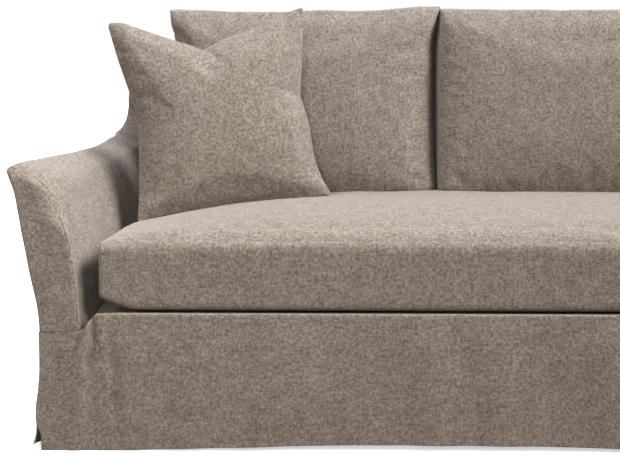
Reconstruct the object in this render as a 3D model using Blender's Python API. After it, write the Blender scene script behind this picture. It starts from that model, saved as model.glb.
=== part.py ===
"""A loose slipcover set for a two-seat sofa.

The hollow body cover is sewn from flat-cut panels, each a sheet of its own. The bench seat cushion,
the two back cushions and the throw pillow wear matching covers and are filled.

Everything is drawn from the floor (height), the plane of the arms' front ends (depth, growing
backwards) and the sofa's centre line (x). A parent empty then moves the set, so that the origin is
the middle of the deck's underside, where the sofa's seat frame carries the cover.
"""
import math
from collections import namedtuple

import bmesh
import bpy
import numpy as np
from mathutils import Matrix, Vector

# ---------------------------------------------------------------- driving dimensions, metres
cloth = 0.003               # thickness of a sheet with its turned seams
seam_gap = 0.0003           # between two panels that are sewn together
foot_gap = 0.0006           # under the panels that stand on the deck
lean_gap = 0.0010           # under or beside a sheet that meets its neighbour at a slant
side_gap = 0.0030           # beside the inside back, along the curved faces of the arms
sofa_depth = 0.92           # arms' front ends to the outside of the back
deck_height = 0.288         # top of the cloth under the seat cushion
arm_seam_height = 0.247     # seam between an arm's front panel and the skirt
rail_height = 0.82          # top of the sofa's back
hem_rise = 0.015            # the front hem hangs this much higher in the middle
hem_rise_half = 0.67        # and reaches the floor this far from the centre line

# A section across one arm: its faces' distances from the centre line.
arm_section = {
    "height": [0.000, 0.247, 0.292, 0.338, 0.385, 0.422, 0.454, 0.482, 0.513, 0.531, 0.558, 0.575],
    "inner": [0.733, 0.734, 0.735, 0.738, 0.743, 0.748, 0.755, 0.763, 0.771, 0.778, 0.787, 0.790],
    "outer": [0.816, 0.816, 0.819, 0.828, 0.837, 0.843, 0.849, 0.853, 0.858, 0.861, 0.870, 0.876],
}
# The arm's top, from its inner edge (0) to its outer edge (1), below its highest line.
arm_top = {
    "across": [0.00, 0.25, 0.50, 0.73, 0.88, 0.96, 1.00],
    "drop": [0.023, 0.017, 0.008, 0.000, 0.002, 0.007, 0.015],
}
arm_ridge = 0.73            # where across the top its highest line runs
arm_tuck = 0.009            # the inside arm panel ends this far down the outer side
level_from, level_to = 0.80, 0.86   # depths over which the swept-up top becomes level
# The highest line of the arm's top, which sweeps up into the back.
crest = {
    "depth": [0.00, 0.02, 0.06, 0.18, 0.34, 0.45, 0.57, 0.63, 0.69, 0.74, 0.776, 0.804,
              0.813, 0.821, 0.830, 0.843, 0.862, 0.885, 0.92],
    "height": [0.590, 0.590, 0.592, 0.593, 0.593, 0.595, 0.604, 0.611, 0.623, 0.637, 0.652, 0.668,
               0.690, 0.735, 0.778, 0.805, 0.8185, 0.82, 0.82],
}
# The inside of the back, a plane that leans backwards.
back_foot_depth = 0.73      # at the deck
back_top_depth = 0.84       # at back_top_height
back_top_height = 0.80
rail_round = [(0.003, 0.009), (0.010, 0.002), (0.020, 0.000)]   # behind it, below the rail's top

corner_dip_width = 0.039    # the deck's front corners dip to the arm seams over this width
corner_dip_depth = 0.06
dip_steps = (0.02, 0.04, 0.06)   # depths at which the dip's panels bend
skirt_half_width = 0.816
skirt_end_steps = (0.790, 0.760, 0.742, 0.734, 0.727, 0.719, 0.711, 0.703, 0.695, 0.670)

# How far the side hangs outside the arm.
side_bulge = {
    "height": [0.000, 0.045, 0.090, 0.125, 0.160, 0.210, 0.260],
    "out": [0.025, 0.022, 0.021, 0.014, 0.010, 0.006, 0.000],
}
side_bulge_start = 0.018    # from the front corner
side_bulge_less = 0.55      # share of it that is lost towards the middle of the side
less_from, less_to = 0.10, 0.40
flat_from, flat_to = 0.84, 0.91     # depths over which the rest dies away at the back corner
corner_slit = 0.055         # the corner seam is open below this height

Fold = namedtuple("Fold", "top_x hem_x width rise")
fold_fade = 0.05            # the folds die away this near the skirt's ends
skirt_folds = [
    Fold(top_x=-0.712, hem_x=-0.745, width=0.016, rise=0.007),
    Fold(top_x=-0.655, hem_x=-0.640, width=0.030, rise=0.004),
    Fold(top_x=-0.450, hem_x=-0.505, width=0.050, rise=0.004),
    Fold(top_x=-0.265, hem_x=-0.385, width=0.055, rise=0.007),
    Fold(top_x=-0.020, hem_x=-0.005, width=0.040, rise=0.006),
    Fold(top_x=0.110, hem_x=0.130, width=0.035, rise=0.006),
    Fold(top_x=0.330, hem_x=0.400, width=0.055, rise=0.005),
    Fold(top_x=0.560, hem_x=0.600, width=0.045, rise=0.006),
    Fold(top_x=0.708, hem_x=0.735, width=0.018, rise=0.006),
]

Cushion = namedtuple("Cushion", "name size radius crown_front crown_back draw ear pinch centre tilt lean")
seat_front = 0.012
seat_size = (1.412, 0.715, 0.150)
back_size = (0.708, 0.479, 0.237)
back_lean = math.radians(12.3)
cushions = [
    Cushion("seat_cushion", seat_size, 0.034, 0.043, 0.0, 0.004, 0.0, 0.20,
            (0.0, seat_front + seat_size[1] / 2, deck_height + seam_gap + seat_size[2] / 2),
            0.0, 0.0),
    Cushion("back_cushion_left", back_size, 0.036, 0.042, 0.014, 0.014, 0.010, 0.16,
            (-0.3550, 0.6862, 0.7180), math.pi / 2, back_lean),
    Cushion("back_cushion_right", back_size, 0.036, 0.042, 0.014, 0.014, 0.010, 0.16,
            (0.3550, 0.6862, 0.7180), math.pi / 2, back_lean),
]

pillow_half = 0.235         # corner to corner, halved
pillow_thickness = 0.150
pillow_seam = 0.004         # thickness left at its sewn edge
pillow_chop = 0.077         # dent in the top edge
pillow_dent_round = 0.0775  # how round its lowest point is
pillow_draw = {"left": 0.022, "right": 0.035, "bottom": 0.018}
pillow_centre = (-0.520, 0.4170, 0.6918)
pillow_turn = math.radians(20.3)
pillow_tilt = math.radians(79.9)
pillow_spin = math.radians(6.1)

cloth_colour = (0.27, 0.22, 0.18, 1.0)


# ---------------------------------------------------------------- shared shapes
def smooth(value):
    """Ease from 0 to 1."""
    value = min(max(value, 0.0), 1.0)
    return value * value * (3.0 - 2.0 * value)


def ease(first, last, value):
    """Ease from 0 at the first value to 1 at the last."""
    return smooth((value - first) / (last - first))


def read(table, key, value, column):
    """Read one column of a table, straight between its rows."""
    return float(np.interp(value, table[key], table[column]))


def inner_face(height):
    return read(arm_section, "height", height, "inner")


def outer_face(height):
    return read(arm_section, "height", height, "outer")


def crest_height(depth):
    return read(crest, "depth", depth, "height")


def back_plane(height):
    """Depth of the inside of the back at a height."""
    lean = (back_top_depth - back_foot_depth) / (back_top_height - deck_height)
    return back_foot_depth + (height - deck_height) * lean


def below_crest(depth, drop):
    """The depth and height of a point square below the crest's line."""
    reach = 0.008
    rise = crest_height(depth + reach) - crest_height(depth - reach)
    angle = math.atan2(rise, 2.0 * reach)
    return depth + drop * math.sin(angle), crest_height(depth) - drop * math.cos(angle)


def arm_top_point(across, depth):
    """A point of the arm's top, level with the rail's top where it has swept up into the back."""
    levelled = ease(level_from, level_to, depth) if across < arm_ridge else 0.0
    drop = read(arm_top, "across", across, "drop") * (1.0 - levelled)
    inner = inner_face(crest_height(0.0))
    outer = outer_face(crest_height(0.0))
    return inner + (outer - inner) * across, *below_crest(depth, drop)


def arm_side_top(depth, further):
    """A point on the arm's outer side, this much further down than its outer edge."""
    depth, height = below_crest(depth, arm_top["drop"][-1] + further)
    return outer_face(height), depth, height


def deck_surface(x, depth):
    """Height of the deck, whose front corners dip down to the arm seams."""
    across = ease(inner_face(0.0) - corner_dip_width, inner_face(0.0), abs(x))
    along = 1.0 - ease(0.0, corner_dip_depth, depth)
    return deck_height - (deck_height - arm_seam_height) * across * along


def steps(first, last, count):
    return [float(value) for value in np.linspace(first, last, count + 1)]


# ---------------------------------------------------------------- building
def clear_scene():
    for item in list(bpy.data.objects):
        bpy.data.objects.remove(item)


def cloth_material(name):
    material = bpy.data.materials.new(name)
    material.use_nodes = True
    shader = material.node_tree.nodes["Principled BSDF"]
    shader.inputs["Base Color"].default_value = cloth_colour
    shader.inputs["Roughness"].default_value = 0.95
    shader.inputs["Metallic"].default_value = 0.0
    return material


def add_object(name, mesh, parent):
    mesh.materials.append(cloth_material(name + "_cloth"))
    item = bpy.data.objects.new(name, mesh)
    item.parent = parent
    bpy.context.scene.collection.objects.link(item)
    mesh.shade_smooth()
    return item


def add_panel(name, point_at, columns, rows, parent, flip=False, is_cut=None):
    """A sheet on a grid of points, thickened away from its outer face, less the cells cut away."""
    mesh = bpy.data.meshes.new(name)
    shape = bmesh.new()
    found = {}

    def corner(across, up):
        if (across, up) not in found:
            found[across, up] = shape.verts.new(point_at(columns[across], rows[up]))
        return found[across, up]

    for up in range(len(rows) - 1):
        for across in range(len(columns) - 1):
            if is_cut and is_cut(columns[across + 1], rows[up]):
                continue
            ring = [corner(across, up), corner(across + 1, up),
                    corner(across + 1, up + 1), corner(across, up + 1)]
            shape.faces.new(reversed(ring) if flip else ring)
    shape.to_mesh(mesh)
    shape.free()
    item = add_object(name, mesh, parent)
    thicken = item.modifiers.new("Cloth thickness", "SOLIDIFY")
    thicken.thickness = cloth
    thicken.offset = -1.0
    thicken.use_even_offset = True
    return item


# ---------------------------------------------------------------- the body cover
def front_skirt(parent):
    """The panel below the seat, from one arm's outer edge to the other's."""
    ends = [skirt_half_width, *skirt_end_steps]
    middle = steps(-0.64, 0.64, 26)
    columns = [-x for x in ends] + middle + ends[::-1]

    def top_edge(x):
        return deck_surface(x, 0.0) - (seam_gap if abs(x) > inner_face(0.0) else 0.0)

    def hem(x):
        return hem_rise * max(0.0, 1.0 - (x / hem_rise_half) ** 2)

    def point_at(x, up):
        height = hem(x) + (top_edge(x) - hem(x)) * up
        forward = 0.0
        for fold in skirt_folds:
            line = fold.hem_x + (fold.top_x - fold.hem_x) * up
            forward += fold.rise * math.exp(-((x - line) / fold.width) ** 2)
        forward *= ease(0.0, fold_fade, skirt_half_width - abs(x))
        forward *= 1.0 - 0.8 * ease(0.7, 1.0, up)
        return x, -forward, height

    return add_panel("front_skirt", point_at, columns, steps(0.0, 1.0, 6), parent)


def arm_front(name, side, parent):
    """The flared panel on an arm's front end."""
    def point_at(across, up):
        top = arm_top_point(across, 0.0)[2]
        height = arm_seam_height + (top - arm_seam_height) * up
        x = inner_face(height) + (outer_face(height) - inner_face(height)) * across
        return side * x, 0.0, height

    return add_panel(name, point_at, arm_top["across"], steps(0.0, 1.0, 9), parent, flip=side < 0)


def inside_arm(name, side, parent):
    """Up the arm's inner face, over its top and just over its outer edge.

    The face ends at the inside of the back, and the top runs on over the end of the rail.
    """
    start = cloth + seam_gap
    end = sofa_depth - cloth - seam_gap

    def face_point(up, depth):
        foot = deck_surface(inner_face(0.0), depth) + foot_gap
        _, top_depth, top = arm_top_point(0.0, depth)
        height = foot + (top - foot) * up
        return inner_face(height), depth + (top_depth - depth) * up, height

    def last_depth(up):
        """Where a line along the inner face meets the inside of the back."""
        low, high = back_foot_depth - 0.05, sofa_depth
        for _ in range(40):
            middle = (low + high) / 2.0
            _, depth, height = face_point(up, middle)
            if depth < back_plane(height) + cloth + lean_gap:
                low = middle
            else:
                high = middle
        return low

    meeting = last_depth(1.0)
    rail_start = min(crest["depth"], key=lambda depth: abs(depth - meeting))
    bends = [depth for depth in crest["depth"] if corner_dip_depth < depth < rail_start]
    near = [("near", depth) for depth in (start,) + dip_steps]
    face_reach = rail_start - corner_dip_depth
    face = [("face", (depth - corner_dip_depth) / face_reach) for depth in bends + [rail_start]]
    rail = [("rail", depth) for depth in crest["depth"] if rail_start < depth < end]
    columns = near + face + rail + [("rail", end)]
    face_rows = [("face", up) for up in steps(0.0, 1.0, 7)[:-1]]
    rows = face_rows + [("top", across) for across in arm_top["across"]] + [("tuck", arm_tuck)]

    def point_at(column, row):
        stretch, depth = column
        kind, value = row
        if stretch == "face":
            limit = last_depth(value) if kind == "face" else rail_start
            depth = corner_dip_depth + (limit - corner_dip_depth) * depth
        if kind == "face":
            point = face_point(value, depth)
        elif kind == "top":
            point = arm_top_point(value, depth)
        else:
            point = arm_side_top(depth, value)
        return side * point[0], point[1], point[2]

    def is_cut(column, row):
        return column[0] == "rail" and row[0] == "face"

    return add_panel(name, point_at, columns, rows, parent, side > 0, is_cut)


def side_hang(depth, height):
    """How far the side hangs outside the arm, with its slit corner flaring at the front."""
    bulge = read(side_bulge, "height", height, "out")
    bulge *= 1.0 - side_bulge_less * ease(less_from, less_to, depth)
    bulge *= 1.0 - ease(flat_from, flat_to, depth)
    opened = max(0.0, 1.0 - height / corner_slit) ** 1.3
    held = ease(0.0, side_bulge_start, depth)
    return bulge * (held + (1.0 - held) * opened)


def side_panel(name, side, parent):
    """The outer side, from the arm's top and the back's end down to the hem."""
    start = cloth + seam_gap
    end = sofa_depth - cloth - seam_gap
    near = [start, 0.008, 0.014, 0.022, 0.05, 0.10]
    along = near + [depth for depth in crest["depth"] if near[-1] < depth < end] + [end]
    up_rows = [0.0, 0.03, 0.065, 0.12, 0.20, 0.30, 0.42, 0.52, 0.62, 0.74, 0.84, 0.93, 0.985, 1.0]

    def point_at(column, up):
        _, depth, top = arm_side_top(column, arm_tuck + 2.0 * seam_gap)
        height = top * up
        x = outer_face(height) + side_hang(depth, height)
        return side * x, depth, height

    return add_panel(name, point_at, along, up_rows, parent, flip=side < 0)


def deck(parent):
    """The cloth under the seat cushion."""
    start = cloth + seam_gap
    end = back_foot_depth + cloth + lean_gap
    half = inner_face(0.0) + cloth + lean_gap
    dip_columns = [x for x in skirt_end_steps if inner_face(0.0) - corner_dip_width < x < half]
    side_columns = [half, *dip_columns]
    columns = [-x for x in side_columns] + steps(-0.60, 0.60, 6) + side_columns[::-1]
    rows = [start, *dip_steps, 0.25, 0.50, end]

    def point_at(x, depth):
        return x, depth, deck_surface(x, depth)

    return add_panel("deck", point_at, columns, rows, parent)


def inside_back(parent):
    """Up the inside of the back and over its top rail."""
    end = sofa_depth - cloth - seam_gap
    foot = deck_height + lean_gap    # the leaning sheet's back edge hangs lower than its front edge
    rows = [(back_plane(height), height) for height in steps(foot, back_top_height, 7)]
    rows += [(back_top_depth + behind, rail_height - below) for behind, below in rail_round]
    rows += [(end, rail_height)]

    def point_at(across, row):
        depth, height = row
        return across * (inner_face(height) - side_gap), depth, height

    return add_panel("inside_back", point_at, steps(-1.0, 1.0, 8), rows, parent)


def outside_back(parent):
    """The back, down to the hem, its top corners shaped like the arms' tops."""
    inner, outer = inner_face(rail_height), outer_face(rail_height)
    ridge_on = [across for across in arm_top["across"] if across >= arm_ridge]
    end_columns = [inner + (outer - inner) * across for across in ridge_on]
    columns = [-x for x in end_columns[::-1]] + steps(-0.78, 0.78, 10) + end_columns

    def point_at(x, up):
        across = max(arm_ridge, (abs(x) - inner) / (outer - inner))
        top = rail_height - read(arm_top, "across", across, "drop")
        height = top * up
        return x * outer_face(height) / outer, sofa_depth, height

    return add_panel("outside_back", point_at, columns, steps(0.0, 1.0, 9), parent, flip=True)


# ---------------------------------------------------------------- the cushions
def box_lines(half, radius, spacing):
    """Grid lines across a cushion: close together at its rounded edges."""
    inner = half - radius
    count = max(2, round(2.0 * inner / spacing))
    edge = [half, half - 0.55 * radius]
    return [-value for value in edge] + steps(-inner, inner, count) + edge[::-1]


def box_grid(lines):
    """The surface of a box as quads, on grid lines along each axis."""
    shape = bmesh.new()
    found = {}

    def corner(index):
        if index not in found:
            found[index] = shape.verts.new([lines[axis][index[axis]] for axis in range(3)])
        return found[index]

    for axis in range(3):
        first, second = (axis + 1) % 3, (axis + 2) % 3
        for end in (0, len(lines[axis]) - 1):
            for i in range(len(lines[first]) - 1):
                for j in range(len(lines[second]) - 1):
                    ring = []
                    for di, dj in ((0, 0), (1, 0), (1, 1), (0, 1)):
                        index = [0, 0, 0]
                        index[axis], index[first], index[second] = end, i + di, j + dj
                        ring.append(corner(tuple(index)))
                    shape.faces.new(ring if end else reversed(ring))
    return shape


def filled_cushion(cushion, parent):
    """A boxed cushion: rounded edges, crowned faces, drawn-in sides and pinched corners."""
    half = Vector(cushion.size) / 2.0
    inner = half - Vector([cushion.radius] * 3)
    spacing = (0.10, 0.10, 0.05)
    shape = box_grid([box_lines(half[axis], cushion.radius, spacing[axis]) for axis in range(3)])
    for vertex in shape.verts:
        core = Vector([min(max(vertex.co[axis], -inner[axis]), inner[axis]) for axis in range(3)])
        point = core + (vertex.co - core).normalized() * cushion.radius
        u, v, w = (point[axis] / half[axis] for axis in range(3))
        corner = (abs(u) * abs(v)) ** 8
        crown = cushion.crown_front if w > 0 else cushion.crown_back
        point.z *= 1.0 - cushion.pinch * corner
        flatter = ease(-0.3, 0.5, v) if cushion.lean == 0.0 else 0.0    # a seat, towards its back
        along, across = 1.0 - abs(u) ** (3.0 + 4.0 * flatter), 1.0 - abs(v) ** (2.5 + 5.0 * flatter)
        point.z += w * crown * along * across
        point.x -= cushion.draw * u * abs(u) * (1.0 - v * v)
        point.y -= cushion.draw * v * abs(v) * (1.0 - u * u)
        point += Vector((u, v, 0.0)) * cushion.ear * corner * (v > 0)
        point.z -= math.tan(cushion.lean) * point.y
        vertex.co = point
    mesh = bpy.data.meshes.new(cushion.name)
    shape.to_mesh(mesh)
    shape.free()
    item = add_object(cushion.name, mesh, parent)
    item.location = cushion.centre
    item.rotation_euler = (cushion.tilt, 0.0, 0.0)
    return item


def pillow_outline(u, v):
    """Where a point of the pillow's flat square goes once its edges are drawn in."""
    x = pillow_half * u
    y = pillow_half * v
    draw = pillow_draw["right"] if u > 0 else pillow_draw["left"]
    x -= draw * u * abs(u) * (1.0 - v * v)
    if v < 0:
        y += pillow_draw["bottom"] * v * v * (1.0 - u * u)
    else:
        dent = 1.0 - math.hypot(u, pillow_dent_round)
        y -= pillow_chop * v ** 1.6 * max(0.0, dent / (1.0 - pillow_dent_round))
    return x, y


def throw_pillow(parent):
    """Two domed faces that meet at a sewn edge."""
    lines = [-1.0, -0.94, -0.82, -0.66, -0.44, -0.22, 0.0, 0.22, 0.44, 0.66, 0.82, 0.94, 1.0]
    shape = bmesh.new()
    last = len(lines) - 1

    def layer(sign):
        rows = []
        for v in lines:
            row = []
            for u in lines:
                x, y = pillow_outline(u, v)
                dome = ((1.0 - abs(u) ** 2.4) * (1.0 - abs(v) ** 2.4)) ** 0.62
                thickness = pillow_seam + (pillow_thickness - pillow_seam) * dome
                row.append(shape.verts.new((x, y, sign * thickness / 2.0)))
            rows.append(row)
        return rows

    front, back = layer(1.0), layer(-1.0)
    for j in range(last):
        for i in range(last):
            shape.faces.new((front[j][i], front[j][i + 1], front[j + 1][i + 1], front[j + 1][i]))
            shape.faces.new((back[j][i], back[j + 1][i], back[j + 1][i + 1], back[j][i + 1]))
    for i in range(last):
        shape.faces.new((back[0][i], back[0][i + 1], front[0][i + 1], front[0][i]))
        shape.faces.new((back[last][i + 1], back[last][i], front[last][i], front[last][i + 1]))
        shape.faces.new((back[i + 1][0], back[i][0], front[i][0], front[i + 1][0]))
        shape.faces.new((back[i][last], back[i + 1][last], front[i + 1][last], front[i][last]))
    mesh = bpy.data.meshes.new("throw_pillow")
    shape.to_mesh(mesh)
    shape.free()
    item = add_object("throw_pillow", mesh, parent)
    item.matrix_local = (
        Matrix.Translation(pillow_centre)
        @ Matrix.Rotation(pillow_turn, 4, "Z")
        @ Matrix.Rotation(pillow_tilt, 4, "X")
        @ Matrix.Rotation(pillow_spin, 4, "Z")
    )
    return item


# ---------------------------------------------------------------- the whole set
def build():
    clear_scene()
    sofa_space = bpy.data.objects.new("sofa_space", None)
    sofa_space.location = (0.0, -sofa_depth / 2.0, -(deck_height - cloth))
    bpy.context.scene.collection.objects.link(sofa_space)
    front_skirt(sofa_space)
    for label, side in (("left", -1.0), ("right", 1.0)):
        arm_front("arm_front_" + label, side, sofa_space)
        inside_arm("inside_arm_" + label, side, sofa_space)
        side_panel("side_" + label, side, sofa_space)
    deck(sofa_space)
    inside_back(sofa_space)
    outside_back(sofa_space)
    for cushion in cushions:
        filled_cushion(cushion, sofa_space)
    throw_pillow(sofa_space)


build()
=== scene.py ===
import math
from collections import namedtuple

import bmesh
import bpy
import numpy as np
from mathutils import Matrix, Vector, noise


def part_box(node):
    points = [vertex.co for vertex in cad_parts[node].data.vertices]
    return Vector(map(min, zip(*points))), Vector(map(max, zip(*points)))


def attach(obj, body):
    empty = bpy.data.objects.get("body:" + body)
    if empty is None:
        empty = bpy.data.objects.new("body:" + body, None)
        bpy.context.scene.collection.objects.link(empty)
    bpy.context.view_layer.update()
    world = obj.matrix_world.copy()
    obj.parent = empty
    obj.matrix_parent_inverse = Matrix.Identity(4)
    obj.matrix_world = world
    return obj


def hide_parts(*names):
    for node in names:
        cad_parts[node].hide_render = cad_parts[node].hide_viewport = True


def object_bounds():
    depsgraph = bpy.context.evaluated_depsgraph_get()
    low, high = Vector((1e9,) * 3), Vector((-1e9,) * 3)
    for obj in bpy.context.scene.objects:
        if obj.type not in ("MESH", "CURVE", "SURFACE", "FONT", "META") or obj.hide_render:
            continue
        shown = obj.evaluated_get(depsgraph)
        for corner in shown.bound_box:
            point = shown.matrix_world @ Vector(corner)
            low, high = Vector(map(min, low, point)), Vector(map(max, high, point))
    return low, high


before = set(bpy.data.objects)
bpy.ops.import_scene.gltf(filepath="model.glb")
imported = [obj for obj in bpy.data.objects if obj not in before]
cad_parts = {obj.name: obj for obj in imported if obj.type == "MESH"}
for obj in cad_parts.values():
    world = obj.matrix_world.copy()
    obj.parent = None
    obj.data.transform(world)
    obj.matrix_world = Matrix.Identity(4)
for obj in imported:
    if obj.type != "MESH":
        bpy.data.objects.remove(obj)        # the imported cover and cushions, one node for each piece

# Places are given as the cover is measured: from the floor (height), from the plane of the arms'
# front ends (depth, growing backwards) and from the sofa's centre line (x).
cadLow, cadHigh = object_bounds()
floorZ = cadLow.z
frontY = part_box("arm_front_left")[0].y

sofa = {
    "depth": 0.92,
    "deckHeight": 0.288,
    "armSeamHeight": 0.247,
    "railHeight": 0.82,
    "sheet": 0.003,             # room that each panel takes
    "cloth": 0.0024,            # thickness of the cloth itself
    "seamGap": 0.0003,
    "leanGap": 0.001,
    "footGap": 0.0006,
    "sideGap": 0.0006,
    "backFoot": 0.73,           # depth of the back's inside at the deck
    "backTop": 0.84,            # and at backTopHeight
    "backTopHeight": 0.8,
    "dipWidth": 0.039,          # the deck's front corners dip down to the arm seams
    "dipDepth": 0.06,
    "dipSteps": (0.02, 0.04, 0.06),
    "dipReach": 0.3,            # and rise again this far back, in the crevice beside the seat
}

arm = {
    "heights": [0.0, 0.247, 0.292, 0.338, 0.385, 0.422, 0.454, 0.482, 0.513, 0.531, 0.558, 0.575],
    "inner": [0.733, 0.734, 0.735, 0.738, 0.743, 0.748, 0.755, 0.763, 0.771, 0.778, 0.787, 0.79],
    "outer": [0.816, 0.816, 0.819, 0.828, 0.837, 0.843, 0.849, 0.853, 0.858, 0.861, 0.87, 0.876],
    "across": [0.0, 0.25, 0.5, 0.73, 0.88, 0.96, 1.0],
    "drop": [0.023, 0.017, 0.008, 0.0, 0.002, 0.007, 0.015],
    "ridge": 0.73,
    "tuck": 0.009,
    "levelFrom": 0.8,
    "levelTo": 0.86,
}
crest = {
    "depths": [0.0, 0.02, 0.06, 0.18, 0.34, 0.45, 0.57, 0.63, 0.69, 0.74, 0.776, 0.804,
               0.813, 0.821, 0.83, 0.843, 0.862, 0.885, 0.92],
    "heights": [0.59, 0.59, 0.592, 0.593, 0.593, 0.595, 0.604, 0.611, 0.623, 0.637, 0.652, 0.668,
                0.69, 0.735, 0.778, 0.805, 0.8185, 0.82, 0.82],
}

crease = namedtuple("crease", "fromA fromB toA toB width farWidth rise")
rightward, rearward, upward = np.eye(3)
seamWidth, narrowSeam = 0.01, 0.006     # how far in a seam draws the cloth under


def ease(first, last, value):
    share = np.clip((value - first) / (last - first), 0.0, 1.0)
    return share * share * (3.0 - 2.0 * share)


def steps(first, last, count):
    return [float(value) for value in np.linspace(first, last, count + 1)]


def curveThrough(keys, values):
    # a smooth curve through a table's rows that never overshoots them
    keys, values = np.array(keys, float), np.array(values, float)
    gaps = np.diff(keys)
    slopes = np.diff(values) / gaps
    same = slopes[:-1] * slopes[1:] > 0.0
    tangents = np.zeros(len(keys))
    means = 2.0 * slopes[:-1] * slopes[1:] / np.where(same, slopes[:-1] + slopes[1:], 1.0)
    tangents[1:-1] = np.where(same, means, 0.0)
    tangents[0], tangents[-1] = slopes[0], slopes[-1]

    def at(value):
        value = np.clip(value, keys[0], keys[-1])
        i = np.clip(np.searchsorted(keys, value) - 1, 0, len(gaps) - 1)
        t = (value - keys[i]) / gaps[i]
        held = (1.0 + 2.0 * t) * (1.0 - t) ** 2 * values[i] + t * t * (3.0 - 2.0 * t) * values[i + 1]
        return held + gaps[i] * t * (1.0 - t) * ((1.0 - t) * tangents[i] - t * tangents[i + 1])

    return at


def curveOf(pairs):
    return curveThrough(*zip(*pairs))


innerFace = curveThrough(arm["heights"], arm["inner"])
outerFace = curveThrough(arm["heights"], arm["outer"])
armDrop = curveThrough(arm["across"], arm["drop"])
crestHeight = curveThrough(crest["depths"], crest["heights"])


def backPlane(height):
    lean = (sofa["backTop"] - sofa["backFoot"]) / (sofa["backTopHeight"] - sofa["deckHeight"])
    return sofa["backFoot"] + (height - sofa["deckHeight"]) * lean


def belowCrest(depth, drop):
    reach = 0.008
    rise = crestHeight(depth + reach) - crestHeight(depth - reach)
    angle = math.atan2(rise, 2.0 * reach)
    return depth + drop * math.sin(angle), crestHeight(depth) - drop * math.cos(angle)


def armTopPoint(across, depth):
    levelled = ease(arm["levelFrom"], arm["levelTo"], depth) if across < arm["ridge"] else 0.0
    inner, outer = innerFace(crestHeight(0.0)), outerFace(crestHeight(0.0))
    return inner + (outer - inner) * across, *belowCrest(depth, armDrop(across) * (1.0 - levelled))


def armSideTop(depth, further):
    depth, height = belowCrest(depth, arm["drop"][-1] + further)
    return outerFace(height), depth, height


def deckSurface(x, depth):
    across = ease(innerFace(0.0) - sofa["dipWidth"], innerFace(0.0), abs(x))
    along = 1.0 - ease(0.0, sofa["dipReach"], depth)
    return sofa["deckHeight"] - (sofa["deckHeight"] - sofa["armSeamHeight"]) * across * along


def creaseField(a, b, creases):
    # soft ridges and troughs, given in millimetres, each along a straight line and fading at both ends
    total = np.zeros(len(a))
    for line in [crease(*[value / 1000.0 for value in row]) for row in creases]:
        alongA, alongB = line.toA - line.fromA, line.toB - line.fromB
        length = math.hypot(alongA, alongB)
        along = ((a - line.fromA) * alongA + (b - line.fromB) * alongB) / length ** 2
        off = ((a - line.fromA) * alongB - (b - line.fromB) * alongA) / length
        width = np.where(off > 0.0, line.width, line.farWidth)
        fade = ease(-0.08, 0.3, along) * (1.0 - ease(0.7, 1.08, along))
        total += line.rise * np.exp(-((off / width) ** 2)) * fade
    return total


def wander(points, size, seed, octaves, rise):
    # smooth unevenness of about that rise
    shift = Vector((seed, seed * 0.37, -seed))
    found = [noise.fractal(Vector(p) / size + shift, 0.9, 2.0, octaves) for p in points]
    return np.array(found) * rise


def readAll(items, field, width, kind=float):
    found = np.zeros(len(items) * width, kind)
    items.foreach_get(field, found)
    return found.reshape(-1, width) if width > 1 else found


def readPoints(mesh):
    return readAll(mesh.vertices, "co", 3)


def readNormals(mesh):
    return readAll(mesh.vertex_normals, "vector", 3)


def writePoints(mesh, points):
    mesh.vertices.foreach_set("co", np.asarray(points, float).ravel())
    mesh.update()


def loopVertices(mesh):
    return readAll(mesh.loops, "vertex_index", 1, int)


def addObject(name, data):
    made = bpy.data.objects.new(name, data)
    bpy.context.collection.objects.link(made)
    return made


def applyModifier(piece, kind, **settings):
    modifier = piece.modifiers.new(kind.lower(), kind)
    for key, value in settings.items():
        setattr(modifier, key, value)
    bpy.ops.object.select_all(action="DESELECT")
    piece.select_set(True)
    bpy.context.view_layer.objects.active = piece
    bpy.ops.object.modifier_apply(modifier=modifier.name)


def runLength(points):
    return np.concatenate([[0.0], np.cumsum(np.linalg.norm(np.diff(points, axis=0), axis=1))])


def layCloth(name, columns, rows, hangAt, levels, faceFlip=False, isCut=None):
    # a flat grid of cloth, each corner of it then moved to where it hangs
    bpy.ops.object.select_all(action="DESELECT")
    bpy.ops.mesh.primitive_grid_add(
        x_subdivisions=len(columns) - 1, y_subdivisions=len(rows) - 1, size=1.0)
    piece = bpy.context.object
    piece.name = piece.data.name = name
    mesh = piece.data
    hung = np.array([[hangAt(column, row) for column in columns] for row in rows])
    hung += [0.0, frontY, floorZ]
    writePoints(mesh, hung)
    cutAcross = runLength(hung[len(rows) // 2])
    cutUp = runLength(hung[:, len(columns) // 2])
    cut = np.stack(np.meshgrid(cutAcross, cutUp), axis=-1).reshape(-1, 2)
    mesh.uv_layers[0].name = "cut"
    mesh.uv_layers[0].data.foreach_set("uv", cut[loopVertices(mesh)].ravel())
    if isCut:
        shape = bmesh.new()
        shape.from_mesh(mesh)
        shape.faces.ensure_lookup_table()
        wide = len(columns) - 1
        away = [shape.faces[up * wide + across] for up in range(len(rows) - 1)
                for across in range(wide) if isCut(columns[across + 1], rows[up])]
        bmesh.ops.delete(shape, geom=away, context="FACES")
        shape.to_mesh(mesh)
        shape.free()
    if faceFlip:
        mesh.flip_normals()
    applyModifier(piece, "SUBSURF", levels=levels, render_levels=levels, uv_smooth="NONE",
                  boundary_smooth="PRESERVE_CORNERS")
    return piece, (float(cutAcross[-1]), float(cutUp[-1]))


def readCut(mesh):
    cut = np.zeros((len(mesh.vertices), 2))
    cut[loopVertices(mesh)] = readAll(mesh.uv_layers["cut"].data, "uv", 2)
    return cut


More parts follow.
